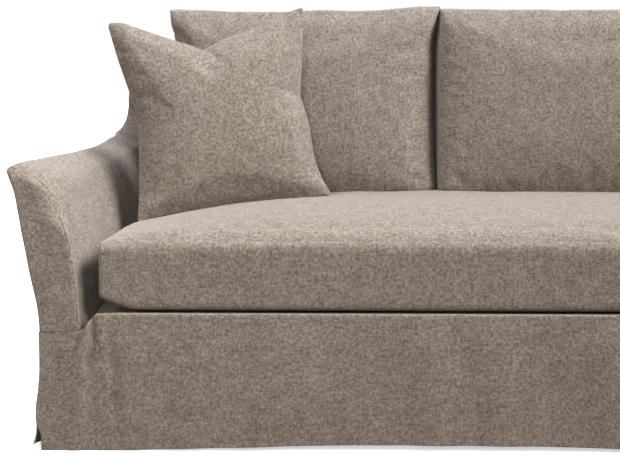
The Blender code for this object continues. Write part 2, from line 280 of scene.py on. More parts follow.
def relieve(piece, reliefAt):
    # move the cloth square to itself and along itself: reliefAt(places, cut) gives both, from each
    # point's x, depth and height and its place on the cut cloth
    mesh = piece.data
    points = readPoints(mesh)
    amount, shift = reliefAt(points - [0.0, frontY, floorZ], readCut(mesh))
    writePoints(mesh, points + readNormals(mesh) * amount[:, None] + shift)


def seamEdge(distance, width, pull, towards):
    # a seam draws the edge of the cloth under, and along itself away from the edge
    share = np.clip(1.0 - distance / width, 0.0, 1.0)
    under = 1.0 - np.sqrt(1.0 - 0.98 * share ** 2)
    return -pull * under, np.outer(0.86 * pull * share ** 2, towards)


def addSeams(*seams):
    return sum(seam[0] for seam in seams), sum(seam[1] for seam in seams)


def puckers(along, distance, spacing, reach, rise, seed):
    # the small gathers that a line of stitching leaves in the cloth beside it
    sway = 1.7 * np.sin(along * 23.0 + seed) + np.sin(along * 61.0 + 2.0 * seed)
    phase = along / spacing * math.tau + sway
    strength = 0.6 + 0.4 * np.sin(along * 11.0 + seed * 3.0)
    return rise * np.sin(phase) * strength * np.exp(-distance / reach)


def finishSheet(piece, cutSize, node):
    applyModifier(piece, "SOLIDIFY", thickness=sofa["cloth"], offset=-1.0, use_even_offset=False)
    piece.data.shade_smooth()
    finishPiece(piece, node, "cover_cloth")


def finishPiece(piece, node, slot):
    piece.data.materials.clear()
    piece.data.materials.append(cloths[slot])
    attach(piece, "root")
    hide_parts(node)


# the cloth's finish: a heathered tweed, its yarns laid along each piece's cut
tweed = {
    "yarn": 0.0027,             # from one yarn to the next
    "run": 3.0,                 # yarns a fleck of one tone runs over
    "dark": (0.11, 0.087, 0.068, 1.0),
    "brown": (0.153, 0.125, 0.102, 1.0),
    "taupe": (0.178, 0.149, 0.124, 1.0),
    "beige": (0.205, 0.174, 0.147, 1.0),
    "cream": (0.258, 0.225, 0.193, 1.0),
    # unevenness over several yarns: its scale, detail and amount
    "warpSway": (90.0, 2.0, 1.6),
    "weftSway": (70.0, 2.0, -1.6),
    "fleck": (150.0, 1.5, 1.9),
    "patch": (34.0, 3.0, 0.8),
    # what each yarn's tone, and each crossing's, adds
    "yarnTone": 0.62,
    "crossTone": 0.35,
    "warpStep": 7.0,            # how far neighbouring yarns' runs are out of step
    "weftStep": 5.0,
    "fleckRise": 0.8,
    "bump": 0.2,
    "bumpRise": 0.0009,
    "finish": {"Roughness": 0.95, "Specular IOR Level": 0.15, "Sheen Weight": 0.17,
               "Sheen Roughness": 0.5},
}


def clothMaterial(name, seed):
    material = bpy.data.materials.new(name)
    material.use_nodes = True
    tree = material.node_tree
    shader = tree.nodes["Principled BSDF"]
    for name, value in tweed["finish"].items():
        shader.inputs[name].default_value = value

    def add(kind, **settings):
        node = tree.nodes.new(kind)
        for key, value in settings.items():
            setattr(node, key, value)
        return node

    def join(source, target):
        tree.links.new(source, target)

    def maths(operation, first, second=None):
        node = add("ShaderNodeMath", operation=operation)
        for socket, value in zip(node.inputs, (first, second)):
            if isinstance(value, (int, float)):
                socket.default_value = value
            elif value is not None:
                join(value, socket)
        return node.outputs[0]

    def pair(first, second):
        node = add("ShaderNodeCombineXYZ")
        join(first, node.inputs[0])
        join(second, node.inputs[1])
        node.inputs[2].default_value = seed
        return node.outputs[0]

    def tossed(vector):
        node = add("ShaderNodeTexWhiteNoise", noise_dimensions="3D")
        join(vector, node.inputs["Vector"])
        return node.outputs["Value"]

    def swing(value, amount):
        return maths("MULTIPLY", maths("SUBTRACT", value, 0.5), amount)

    def cloudy(scale, detail, amount):
        node = add("ShaderNodeTexNoise")
        node.inputs["Scale"].default_value = scale
        node.inputs["Detail"].default_value = detail
        join(cut.outputs["UV"], node.inputs["Vector"])
        return swing(node.outputs["Fac"], amount)

    def runOf(along, cell, step):
        # which run of one tone a place along a yarn lies in
        shift = maths("MULTIPLY", tossed(pair(cell, cell)), step)
        return maths("FLOOR", maths("DIVIDE", maths("ADD", along, shift), tweed["run"]))

    cut = add("ShaderNodeUVMap", uv_map="cut")
    split = add("ShaderNodeSeparateXYZ")
    join(cut.outputs["UV"], split.inputs[0])
    warp, weft = [
        maths("ADD", maths("DIVIDE", split.outputs[axis], tweed["yarn"]), cloudy(*tweed[sway]))
        for axis, sway in enumerate(("warpSway", "weftSway"))]
    warpCell, weftCell = maths("FLOOR", warp), maths("FLOOR", weft)
    over = maths("MODULO", maths("ABSOLUTE", maths("ADD", warpCell, weftCell)), 2.0)

    # each yarn's tone changes every few crossings, at a different place on each yarn
    warpTone = tossed(pair(warpCell, runOf(weft, warpCell, tweed["warpStep"])))
    weftTone = tossed(pair(runOf(warp, weftCell, tweed["weftStep"]), weftCell))
    yarnTone = add("ShaderNodeMix", data_type="FLOAT")
    join(over, yarnTone.inputs[0])
    join(warpTone, yarnTone.inputs[2])
    join(weftTone, yarnTone.inputs[3])
    fleck = cloudy(*tweed["fleck"])
    crossing = swing(tossed(pair(warpCell, weftCell)), tweed["crossTone"])
    tone = maths("ADD", swing(yarnTone.outputs[0], tweed["yarnTone"]), 0.5)
    for part in (fleck, cloudy(*tweed["patch"]), crossing):
        tone = maths("ADD", tone, part)

    ramp = add("ShaderNodeValToRGB")
    stops = [(0.0, "dark"), (0.28, "brown"), (0.52, "taupe"), (0.76, "beige"), (1.0, "cream")]
    for place, _ in stops[1:-1]:
        ramp.color_ramp.elements.new(place)
    for element, (place, shade) in zip(ramp.color_ramp.elements, stops):
        element.position = place
        element.color = tweed[shade]
    join(tone, ramp.inputs["Fac"])
    join(ramp.outputs["Color"], shader.inputs["Base Color"])

    # the yarns' round backs
    def roundBack(value):
        return maths("SINE", maths("MULTIPLY", maths("FRACT", value), math.pi))

    height = maths("MULTIPLY", roundBack(warp), roundBack(weft))
    height = maths("ADD", height, maths("MULTIPLY", fleck, tweed["fleckRise"]))
    height = maths("ADD", height, crossing)
    bump = add("ShaderNodeBump")
    bump.inputs["Strength"].default_value = tweed["bump"]
    bump.inputs["Distance"].default_value = tweed["bumpRise"]
    join(height, bump.inputs["Height"])
    join(bump.outputs["Normal"], shader.inputs["Normal"])
    return material


cloths = {
    "cover_cloth": clothMaterial("tweed of the cover", 1.0),
    "cushion_cloth": clothMaterial("tweed of the cushions", 5.0),
}
print("cloth ready")


# the front skirt, from arm to arm, with a slit at each corner
# how far the corner seams bulge outwards, by height, over the slit
cornerBulge = ((0.062, 0.01), (0.088, 0.01), (0.105, 0.0075), (0.122, 0.005), (0.139, 0.003),
               (0.16, 0.0008), (0.19, 0.0))
skirtFold = namedtuple("skirtFold", "topX hemX width rise")
skirt = {
    "halfWidth": 0.816,
    "endColumns": [0.816, 0.812, 0.806, 0.798, 0.79, 0.782, 0.774, 0.767, 0.76, 0.754, 0.748, 0.742,
                   0.736, 0.73, 0.724, 0.718, 0.712, 0.706, 0.7, 0.692, 0.682, 0.67],
    "hemRise": 0.015,
    "hemRiseHalf": 0.67,
    "foldFade": 0.05,
    "uneven": (0.11, 3.1, 3, 0.0016),       # the size, seed, octaves and rise of its soft unevenness
    "drape": 0.55,              # that unevenness runs on downwards
    "gathers": (0.021, 0.02, 0.0006),       # the puckers' spacing, reach and rise
    "topPull": 0.003,           # how far its seams are drawn in
    "endPull": 0.0006,
    # how far the corner seam bulges out over the slit, by height
    "bulge": ((0.0, 0.0), (0.03, 0.0), (0.04, 0.002), (0.05, 0.0075), *cornerBulge),
    "bulgeFrom": 0.7,
    "folds": [
        skirtFold(-0.716, -0.75, 0.014, 0.0022),
        skirtFold(-0.64, -0.625, 0.022, 0.0035),
        skirtFold(-0.45, -0.505, 0.05, 0.004),
        skirtFold(-0.265, -0.385, 0.055, 0.007),
        skirtFold(-0.02, -0.005, 0.04, 0.006),
        skirtFold(0.11, 0.13, 0.035, 0.006),
        skirtFold(0.33, 0.4, 0.055, 0.005),
        skirtFold(0.56, 0.6, 0.045, 0.006),
        skirtFold(0.708, 0.735, 0.018, 0.005),
    ],
    "creases": [
        (-706, 286, -727, 218, 4, 5, 4.6),
        (-721, 236, -754, 168, 4, 5, 4.6),
        (-731, 250, -750, 176, 3.5, 3.5, -3),
        (-706, 290, -705, 214, 6, 7, -5.8),
        (-704, 236, -722, 168, 7, 8, -4.2),
        (-744, 226, -778, 190, 6, 5, 1.8),
        (-688, 284, -684, 190, 9, 12, 2.4),
        (-669, 236, -662, 50, 7, 10, -2.6),
        (-246, 190, -340, 35, 22, 34, 3),
        (706, 284, 730, 218, 5, 4, 4),
        (722, 240, 748, 176, 5, 4, 4),
        (702, 284, 706, 190, 6, 6, -3.6),
        (676, 220, 668, 30, 12, 10, -2.4),
        (480, 270, 455, 100, 20, 30, 2.5),
    ],
}


skirtBulge = curveOf(skirt["bulge"])


def hemHeight(x):
    return skirt["hemRise"] * max(0.0, 1.0 - (x / skirt["hemRiseHalf"]) ** 2)


def skirtPoint(x, up):
    top = deckSurface(x, 0.0) - (sofa["seamGap"] if abs(x) > innerFace(0.0) else 0.0)
    height = hemHeight(x) + (top - hemHeight(x)) * up
    forward = 0.0
    for fold in skirt["folds"]:
        line = fold.hemX + (fold.topX - fold.hemX) * up
        forward += fold.rise * math.exp(-((x - line) / fold.width) ** 2)
    forward *= ease(0.0, skirt["foldFade"], skirt["halfWidth"] - abs(x))
    forward *= 1.0 - 0.8 * ease(0.7, 1.0, up)
    outward = skirtBulge(height) * ease(skirt["bulgeFrom"], skirt["halfWidth"], abs(x))
    return x + math.copysign(outward, x), -forward, height


def makeSkirt():
    ends = skirt["endColumns"]
    columns = [-x for x in ends] + steps(-0.645, 0.645, 38) + ends[::-1]
    rows = [0.0, 0.02] + steps(0.055, 0.935, 22) + [0.965, 0.985, 1.0]
    piece, cutSize = layCloth("frontSkirt", columns, rows, skirtPoint, 2)

    def reliefAt(places, cut):
        x, _, height = places.T
        soft = wander(places * [1.0, 1.0, skirt["drape"]], *skirt["uneven"])
        held = 1.0 - 0.7 * ease(0.2, 0.28, height)
        fromTop = cutSize[1] - cut[:, 1]
        middle = ease(0.0, 0.03, innerFace(0.0) - np.abs(x))
        top = seamEdge(fromTop, seamWidth, skirt["topPull"] * middle, -upward)
        left = seamEdge(cut[:, 0], narrowSeam, skirt["endPull"], rightward)
        right = seamEdge(cutSize[0] - cut[:, 0], narrowSeam, skirt["endPull"], -rightward)
        under, shift = addSeams(top, left, right)
        gathers = puckers(x, fromTop, *skirt["gathers"], 1.0)
        return under + creaseField(x, height, skirt["creases"]) + soft * held + gathers, shift

    relieve(piece, reliefAt)
    finishSheet(piece, cutSize, "front_skirt")
    print("skirt ready")


makeSkirt()

armFront = {
    "across": [0.0, 0.03, 0.09, 0.18, 0.33, 0.5, 0.62, 0.73, 0.82, 0.88, 0.93, 0.97, 1.0],
    "ridgeReach": 0.05,         # the cloth rounds off the ridge above the inner face within this
    "rollPull": (0.002, 0.0105),    # how far the front seam is drawn in, low down and high up
    "rollWidth": (0.009, 0.042),
    "outerPull": 0.0022,
    "uneven": (0.05, 9.2, 2, 0.0009),
    "gathers": (0.017, 0.008, 0.0004),
    "creases": [
        (790, 514, 764, 524, 4, 6, -1.6),
        (838, 560, 790, 545, 8, 12, 1.6),
        (765, 330, 800, 300, 12, 18, 1.2),
    ],
}


def roundRidge(x, depth, height, station):
    # the cloth rounds off the edge between the arm's inner face and its top
    ridgeX, _, ridgeHeight = armTopPoint(0.0, station)
    overX, _, overHeight = armTopPoint(0.3, station)
    underX, underHeight = innerFace(ridgeHeight - 0.03), ridgeHeight - 0.03
    over = math.hypot(overX - ridgeX, overHeight - ridgeHeight)
    under = math.hypot(ridgeX - underX, 0.03)
    wayX = (overX - ridgeX) / over - (ridgeX - underX) / under
    wayHeight = (overHeight - ridgeHeight) / over - 0.03 / under
    reach = armFront["ridgeReach"]
    near = max(0.0, reach - math.hypot(x - ridgeX, height - ridgeHeight))
    sink = near * near / (4.0 * reach) * (1.0 - ease(0.7, 0.8, station))
    return x + sink * wayX, depth, height + sink * wayHeight


def frontRoll(x, height, edges):
    # the seam round the arm's front: tight low down, a soft roll higher up. Each edge is the
    # distance from it and the way in.
    soft = ease(0.44, 0.5, height) * (1.0 - ease(0.855, 0.874, np.abs(x)))
    pull = armFront["rollPull"][0] + (armFront["rollPull"][1] - armFront["rollPull"][0]) * soft
    width = armFront["rollWidth"][0] + (armFront["rollWidth"][1] - armFront["rollWidth"][0]) * soft
    shares = [np.clip(1.0 - distance / width, 0.0, 1.0) for distance, _ in edges]
    whole = np.sqrt(sum(share ** 2 for share in shares))
    near = np.minimum(whole, 1.0) ** 2
    under = (1.0 - soft) * (1.0 - np.sqrt(1.0 - 0.98 * near)) + soft * near
    way = sum(np.outer(share, inward) for share, (_, inward) in zip(shares, edges))
    shift = pull * (0.86 + 0.14 * soft) * near / np.maximum(whole, 1e-9)
    return -pull * under, way * shift[:, None]


def makeArmFront(side, label):
    def hangAt(across, up):
        top = armTopPoint(across, 0.0)[2]
        height = sofa["armSeamHeight"] + (top - sofa["armSeamHeight"]) * up
        x = innerFace(height) + (outerFace(height) - innerFace(height)) * across
        x, _, height = roundRidge(x, 0.0, height, 0.0)
        return side * x, 0.0, height

    rows = [0.0, 0.012, 0.04] + steps(0.09, 0.85, 10) + [0.9, 0.94, 0.97, 0.99, 1.0]
    piece, cutSize = layCloth("armFront" + label, armFront["across"], rows, hangAt, 2, side < 0)

    def reliefAt(places, cut):
        x, _, height = places.T
        inside = x * side - innerFace(height)
        outside = outerFace(height) - x * side
        shares = np.clip(inside / (inside + outside), 0.0, 1.0)
        tops = np.array([armTopPoint(share, 0.0)[2] for share in shares])
        edges = [(inside, side * rightward), (np.maximum(tops - height, 0.0), -upward)]
        outer = seamEdge(outside, seamWidth, armFront["outerPull"], -side * rightward)
        under, shift = addSeams(frontRoll(x, height, edges), outer)
        soft = wander(places, *armFront["uneven"])
        gathers = puckers(height, inside, *armFront["gathers"], side)
        creases = creaseField(x * side, height, armFront["creases"])
        return under + soft + gathers + creases, shift

    relieve(piece, reliefAt)
    finishSheet(piece, cutSize, "arm_front_" + label.lower())


insideArm = {
    "footPull": 0.0012,
    "uneven": (0.09, 4.4, 2, 0.0012),
    "gathers": (0.019, 0.01, 0.0004),
    "creases": [
        (610, 604, 660, 575, 10, 14, 2),
        (655, 616, 700, 590, 9, 13, -2),
        (690, 626, 735, 600, 10, 12, 2.2),
        (745, 640, 790, 600, 12, 16, -2.2),
        (30, 300, 160, 350, 12, 20, 1.5),
    ],
}


def makeInsideArm(side, label):
    start = sofa["cloth"] + sofa["seamGap"]
    end = sofa["depth"] - start

    def facePoint(up, depth):
        foot = deckSurface(innerFace(0.0), depth) + sofa["footGap"]
        _, topDepth, top = armTopPoint(0.0, depth)
        height = foot + (top - foot) * up
        return innerFace(height), depth + (topDepth - depth) * up, height

    def lastDepth(up):
        # where a line along the inner face meets the inside of the back
        low, high = sofa["backFoot"] - 0.05, sofa["depth"]
        for _ in range(30):
            middle = (low + high) / 2.0
            _, depth, height = facePoint(up, middle)
            if depth < backPlane(height) + sofa["sheet"] + sofa["leanGap"]:
                low = middle
            else:
                high = middle
        return low

    faceRows = [0.0, 0.02] + steps(0.08, 0.88, 7) + [0.94, 0.98]
    limits = {up: lastDepth(up) for up in faceRows}
    railStart = min(crest["depths"], key=lambda depth: abs(depth - lastDepth(1.0)))
    dip = sofa["dipDepth"]
    bends = [depth for depth in crest["depths"] if dip < depth < railStart]
    between = sorted(bends + [0.09, 0.13, 0.23, 0.29, 0.395, 0.51])
    nearSteps = (start, start + 0.0015, 0.01) + sofa["dipSteps"]
    near = [("near", depth) for depth in nearSteps]
    face = [("face", (depth - dip) / (railStart - dip)) for depth in between + [railStart]]
    rail = [("rail", depth) for depth in crest["depths"] if railStart < depth < end]
    columns = near + face + rail + [("rail", end)]
    topRows = [0.0, 0.08, 0.25, 0.42, 0.58, 0.73, 0.82, 0.88, 0.93, 0.97, 1.0]
    rows = [("face", up) for up in faceRows] + [("top", across) for across in topRows]
    rows += [("tuck", arm["tuck"] * 0.5), ("tuck", arm["tuck"])]

    def hangAt(column, row):
        stretch, depth = column
        kind, value = row
        if stretch == "face":
            limit = limits[value] if kind == "face" else railStart
            depth = dip + (limit - dip) * depth
        station = depth
        if kind == "face":
            x, depth, height = facePoint(value, depth)
        elif kind == "top":
            x, depth, height = armTopPoint(value, depth)
        else:
            x, depth, height = armSideTop(depth, value)
        x, depth, height = roundRidge(x, depth, height, station)
        return side * x, depth, height

    def isCut(column, row):
        return column[0] == "rail" and row[0] == "face"

    piece, cutSize = layCloth("insideArm" + label, columns, rows, hangAt, 3, side > 0, isCut)

    def reliefAt(places, cut):
        x, depth, height = places.T
        front = np.maximum(depth - start, 0.0)
        seam = frontRoll(x, height, [(front, rearward)])
        foot = seamEdge(cut[:, 1], seamWidth, insideArm["footPull"], upward)
        under, shift = addSeams(seam, foot)
        soft = wander(places, *insideArm["uneven"])
        gathers = puckers(height, front, *insideArm["gathers"], 2.0 + side)
        creases = creaseField(depth, height, insideArm["creases"])
        return under + soft * ease(0.0, 0.03, front) + gathers + creases, shift

    relieve(piece, reliefAt)
    finishSheet(piece, cutSize, "inside_arm_" + label.lower())


sides = ((-1.0, "Left"), (1.0, "Right"))
for side, label in sides:
    makeArmFront(side, label)
    makeInsideArm(side, label)
print("arms ready")

sidePanel = {
    # how far the cloth bulges out past the arm's side, by height: along its middle and at its front edge
    "bulge": ((0.0, 0.023), (0.045, 0.022), (0.09, 0.02), (0.125, 0.014), (0.16, 0.01), (0.21, 0.006),
              (0.26, 0.0)),
    "frontEdge": ((0.0, 0.0215), (0.014, 0.0165), (0.048, 0.0085), *cornerBulge),
    "bulgeStart": 0.05,
    "bulgeLess": 0.55,
    "hemLift": 0.012,           # at the slit's corner
    "frontPull": (0.0006, 0.0022),          # beside the skirt, and beside the arm's front
    "rearPull": 0.0024,
    "topPull": 0.0012,
    "uneven": (0.12, 7.7, 3, 0.0022),
    "drape": 0.6,
    "folds": [
        (160, 300, 190, 10, 20, 30, 4),
        (330, 260, 300, 10, 24, 30, 3.5),
        (500, 340, 540, 10, 20, 34, 4.5),
        (690, 280, 660, 10, 26, 30, 3.5),
        (820, 600, 800, 200, 20, 26, 3),
        (740, 580, 870, 700, 12, 18, 2.2),
    ],
}
bulgeOut, frontEdgeOut = curveOf(sidePanel["bulge"]), curveOf(sidePanel["frontEdge"])


def sideHang(depth, height):
    bulge = bulgeOut(height) * (1.0 - sidePanel["bulgeLess"] * ease(0.1, 0.4, depth))
    edge = frontEdgeOut(height)
    bulge = edge + (bulge - edge) * ease(0.0, sidePanel["bulgeStart"], depth)
    return bulge * (1.0 - ease(0.84, 0.91, depth))


def makeSide(side, label):
    start = sofa["cloth"] + sofa["seamGap"]
    end = sofa["depth"] - start
    near = [start, 0.005, 0.008, 0.014, 0.022, 0.035, 0.05, 0.075, 0.1]
    bends = [depth for depth in crest["depths"] if 0.1 < depth < end - 0.03]
    columns = near + sorted(bends + [0.14, 0.22, 0.26, 0.3, 0.395, 0.51, 0.885])
    columns += [end - 0.01, end - 0.003, end]
    rows = [0.0, 0.015, 0.035, 0.065, 0.12, 0.16, 0.2, 0.25, 0.3, 0.36, 0.42, 0.47, 0.52, 0.57, 0.62,
            0.68, 0.74, 0.79, 0.84, 0.89, 0.93, 0.965, 0.985, 0.995, 1.0]

    def hangAt(column, up):
        _, depth, top = armSideTop(column, arm["tuck"] + 2.0 * sofa["seamGap"])
        lift = sidePanel["hemLift"] * (1.0 - ease(0.0, 0.06, depth)) * (1.0 - up) ** 12
        height = top * up + lift
        return side * (outerFace(height) + sideHang(depth, height)), depth, height

    piece, cutSize = layCloth("side" + label, columns, rows, hangAt, 2, side < 0)

    def reliefAt(places, cut):
        _, depth, height = places.T
        front, rear = np.maximum(depth - start, 0.0), np.maximum(end - depth, 0.0)
        sewn = ease(0.045, 0.07, height)
        low, high = sidePanel["frontPull"]
        under, shift = addSeams(
            seamEdge(front, seamWidth, low + (high - low) * ease(0.22, 0.27, height), rearward),
            seamEdge(rear, seamWidth, sidePanel["rearPull"], -rearward),
            seamEdge(cut[:, 1].max() - cut[:, 1], narrowSeam, sidePanel["topPull"], 0.0 * upward))
        soft = wander(places * [1.0, 1.0, sidePanel["drape"]], *sidePanel["uneven"])
        room = ease(0.0, 0.03, front) * ease(0.0, 0.03, rear)
        folds = (soft + creaseField(depth, height, sidePanel["folds"])) * room
        return under * sewn + folds, shift * sewn[:, None]

    relieve(piece, reliefAt)
    finishSheet(piece, cutSize, "side_" + label.lower())


for side, label in sides:
    makeSide(side, label)
print("sides ready")


deck = {
    "frontPull": (0.0006, 0.003),           # over the arms' seams, and along the skirt
    # dark hollows under the seat's front edge and in the crevices beside it
    "hollow": 0.009,
    "crevice": 0.018,
    "creviceAcross": (0.6, 0.66, 0.712),
}


def makeDeck():
    half = innerFace(0.0) + sofa["sheet"] + sofa["leanGap"]
    outer = [half, 0.734, 0.727, 0.719, 0.711, 0.703, 0.695]
    columns = [-x for x in outer] + steps(-0.64, 0.64, 16) + outer[::-1]
    end = sofa["backFoot"] + sofa["sheet"] + sofa["leanGap"]
    rows = [sofa["cloth"] + sofa["seamGap"], 0.008, *sofa["dipSteps"]] + steps(0.11, end, 7)

    def hangAt(x, depth):
        return x, depth, deckSurface(x, depth)

    piece, cutSize = layCloth("deckCloth", columns, rows, hangAt, 2)

    def reliefAt(places, cut):
        x, depth, _ = places.T
        middle = ease(0.0, 0.03, innerFace(0.0) - np.abs(x))
        low, high = deck["frontPull"]
        under, shift = seamEdge(cut[:, 1], seamWidth, low + (high - low) * middle, rearward)
        first, full, last = deck["creviceAcross"]
        across = ease(first, full, np.abs(x)) * (1.0 - ease(last, innerFace(0.0), np.abs(x)))
        trough = across * ease(0.004, 0.03, depth) * (1.0 - ease(0.3, 0.45, depth))
        hollow = ease(0.002, 0.012, depth) * (1.0 - ease(0.08, 0.16, depth))
        return under - np.maximum(deck["crevice"] * trough, deck["hollow"] * hollow * middle), shift

    relieve(piece, reliefAt)
    finishSheet(piece, cutSize, "deck")


insideBack = {
    "topPull": 0.0022,
    "tuck": 0.004,              # it reaches behind the arms' rise, where they meet
    "uneven": (0.12, 5.5, 2, 0.0012),
    "rail": ((0.003, 0.009), (0.01, 0.002), (0.02, 0.0), (0.045, 0.0)),         # behind and below it
}


def makeInsideBack():
    foot = sofa["deckHeight"] + sofa["leanGap"]
    rows = [(backPlane(height), height) for height in steps(foot, sofa["backTopHeight"] - 0.012, 12)]
    rows += [(backPlane(sofa["backTopHeight"]), sofa["backTopHeight"])]
    rows += [(sofa["backTop"] + behind, sofa["railHeight"] - below)
             for behind, below in insideBack["rail"]]
    end = sofa["depth"] - sofa["cloth"] - sofa["seamGap"]
    rows += [(end - 0.008, sofa["railHeight"]), (end, sofa["railHeight"])]

    def hangAt(across, row):
        depth, height = row
        tucked = ease(0.64, 0.68, height) - ease(0.785, 0.8, height)
        return across * (innerFace(height) - sofa["sideGap"] + insideBack["tuck"] * tucked), depth, height

    columns = [-1.0, -0.993] + steps(-0.95, 0.95, 18) + [0.993, 1.0]
    piece, cutSize = layCloth("insideBack", columns, rows, hangAt, 2)

    def reliefAt(places, cut):
        soft = wander(places, *insideBack["uneven"])
        under, shift = seamEdge(cutSize[1] - cut[:, 1], seamWidth, insideBack["topPull"], -rearward)
        return under + soft, shift

    relieve(piece, reliefAt)
    finishSheet(piece, cutSize, "inside_back")


outsideBack = {
    "pull": 0.0024,
    "sink": 0.002,              # it hangs this much slacker than its edges
    "flatten": 0.4,             # what its soft bulges lose
    "uneven": (0.13, 2.2, 3, 0.0022),
    "drape": 0.6,
    "folds": [
        (-620, 300, -600, 10, 30, 40, 3.5),
        (-220, 240, -260, 10, 34, 40, 3),
        (180, 300, 200, 10, 28, 40, 3.5),
        (550, 260, 580, 10, 34, 36, 3),
        (-800, 780, -620, 660, 14, 22, 2.2),
        (800, 780, 640, 650, 14, 22, 2.2),
    ],
}


def makeOutsideBack():
    inner, outer = innerFace(sofa["railHeight"]), outerFace(sofa["railHeight"])
    ends = [inner + (outer - inner) * share for share in (0.73, 0.82, 0.88, 0.93, 0.96, 0.985, 1.0)]
    columns = [-x for x in ends[::-1]] + steps(-0.8, 0.8, 26) + ends
    rows = [0.0, 0.01] + steps(0.04, 0.94, 19) + [0.97, 0.99, 1.0]

    def hangAt(x, up):
        share = max(arm["ridge"], (abs(x) - inner) / (outer - inner))
        height = (sofa["railHeight"] - armDrop(share)) * up
        return x * outerFace(height) / outer, sofa["depth"], height

    piece, cutSize = layCloth("outsideBack", columns, rows, hangAt, 2, True)

    def reliefAt(places, cut):
        x, _, height = places.T
        ends = np.maximum(outerFace(height) - np.abs(x), 0.0)
        pull = outsideBack["pull"]
        left = seamEdge(np.where(x < 0.0, ends, 1.0), seamWidth, pull, rightward)
        right = seamEdge(np.where(x > 0.0, ends, 1.0), seamWidth, pull, -rightward)
        top = seamEdge(cut[:, 1].max() - cut[:, 1], seamWidth, pull, -upward)
        under, shift = addSeams(left, right, top)
        soft = wander(places * [1.0, 1.0, outsideBack["drape"]], *outsideBack["uneven"])
        soft = soft - outsideBack["flatten"] * np.maximum(0.0, soft)
        folds = soft + creaseField(x, height, outsideBack["folds"])
        return under + (folds - outsideBack["sink"]) * ease(0.0, 0.04, ends), shift

    relieve(piece, reliefAt)
    finishSheet(piece, cutSize, "outside_back")


makeDeck()
makeInsideBack()
makeOutsideBack()
print("back ready")


def gridLines(half, radius, spacing):
    inner = half - radius
    count = max(2, round(2.0 * inner / spacing))
    turn = [half - radius * share for share in (0.0, 0.1, 0.24, 0.42, 0.63, 0.84)]
    return [-value for value in turn] + steps(-inner, inner, count) + turn[::-1]


def boxGrid(name, lines):
    # the surface of a box as quads, on grid lines along each axis
    shape = bmesh.new()
    found = {}

    def corner(index):
        if index not in found:
            found[index] = shape.verts.new([lines[axis][index[axis]] for axis in range(3)])
        return found[index]

    for axis in range(3):
        first, second = (axis + 1) % 3, (axis + 2) % 3
        for end in (0, len(lines[axis]) - 1):
            for i in range(len(lines[first]) - 1):
                for j in range(len(lines[second]) - 1):
                    ring = []
                    for di, dj in ((0, 0), (1, 0), (1, 1), (0, 1)):
                        index = [0, 0, 0]
                        index[axis], index[first], index[second] = end, i + di, j + dj
                        ring.append(corner(tuple(index)))
                    shape.faces.new(ring if end else reversed(ring))
    mesh = bpy.data.meshes.new(name)
    shape.to_mesh(mesh)
    shape.free()
    return addObject(name, mesh)


def layWeave(piece):
    # the cloth's cut place at each corner: the two axes that its face lies along, in metres
    mesh = piece.data
    points = readPoints(mesh)[loopVertices(mesh)]
    away = np.abs(readAll(mesh.polygons, "normal", 3)).argmax(axis=1)
    away = np.repeat(away, readAll(mesh.polygons, "loop_total", 1, int))
    first = np.where(away == 0, 1, 0)
    second = np.where(away == 2, 1, 2)
    each = np.arange(len(points))
    uv = np.stack([points[each, first], points[each, second]], axis=1)
    mesh.uv_layers.new(name="cut")
    mesh.uv_layers["cut"].data.foreach_set("uv", uv.ravel())


def softBox(points, half, radius):
    # the box's points with all its edges rounded
    inner = half - radius
    core = np.clip(points, -inner, inner)
    away = points - core
    return core + away / np.maximum(np.linalg.norm(away, axis=1, keepdims=True), 1e-9) * radius


def softEnds(points, half, radius):
    # the box's points with the edges of its two ends rounded and the corners of its section left
    over = np.maximum(np.abs(points) - (half - radius), 0.0)
    section = np.maximum(over[:, 1], over[:, 2])
    shrink = radius / np.maximum(np.hypot(over[:, 0], section), 1e-9)
    core = np.clip(points, radius - half, half - radius)
    edge = (over[:, 0] > 0.0) & (section > 0.0)
    return np.where(edge[:, None], core + (points - core) * shrink[:, None], points)


def roundCorner(a, b, halfA, halfB, signA, signB, radius):
    # bend one corner of a section into a round
    overA = (a * signA - halfA + radius) / radius
    overB = (b * signB - halfB + radius) / radius
    bend = (overA > 0.0) & (overB > 0.0)
    share = np.maximum(overA, overB) / np.maximum(np.hypot(overA, overB), 1e-9)
    roundA = signA * (halfA - radius + radius * overA * share)
    roundB = signB * (halfB - radius + radius * overB * share)
    return np.where(bend, roundA, a), np.where(bend, roundB, b)


def settle(piece, settings, held):
    # let the filling press the cloth out, with the seams held, then keep what it moved within reach
    mesh = piece.data
    before = readPoints(mesh)
    group = piece.vertex_groups.new(name="held")
    for index in np.flatnonzero(held > 0.01):
        group.add([int(index)], float(held[index]), "REPLACE")
    cloth = piece.modifiers.new("filling", "CLOTH")
    cloth.settings.quality = 4
    cloth.settings.mass = 0.3
    cloth.settings.tension_stiffness = settings["stretch"]
    cloth.settings.compression_stiffness = settings["stretch"]
    cloth.settings.shear_stiffness = settings["stretch"] * 0.3
    cloth.settings.bending_stiffness = settings["bend"]
    cloth.settings.use_pressure = True
    cloth.settings.uniform_pressure_force = settings["pressure"]
    cloth.settings.shrink_min = -settings["spare"]
    cloth.settings.shrink_max = -settings["spare"]
    cloth.settings.vertex_group_mass = "held"
    cloth.settings.effector_weights.gravity = 0.0
    cloth.point_cache.frame_start = 1
    cloth.point_cache.frame_end = settings["frames"]
    scene = bpy.context.scene
    for number in range(1, settings["frames"] + 1):
        scene.frame_set(number)
    shown = piece.evaluated_get(bpy.context.evaluated_depsgraph_get())
    after = readPoints(shown.to_mesh())
    shown.to_mesh_clear()
    piece.modifiers.remove(cloth)
    piece.vertex_groups.remove(group)
    scene.frame_set(1)
    move = after - before
    far = np.linalg.norm(move, axis=1, keepdims=True)
    move *= settings["cap"] / np.maximum(far, settings["cap"])
    writePoints(mesh, before + move)
    return float(far.max())


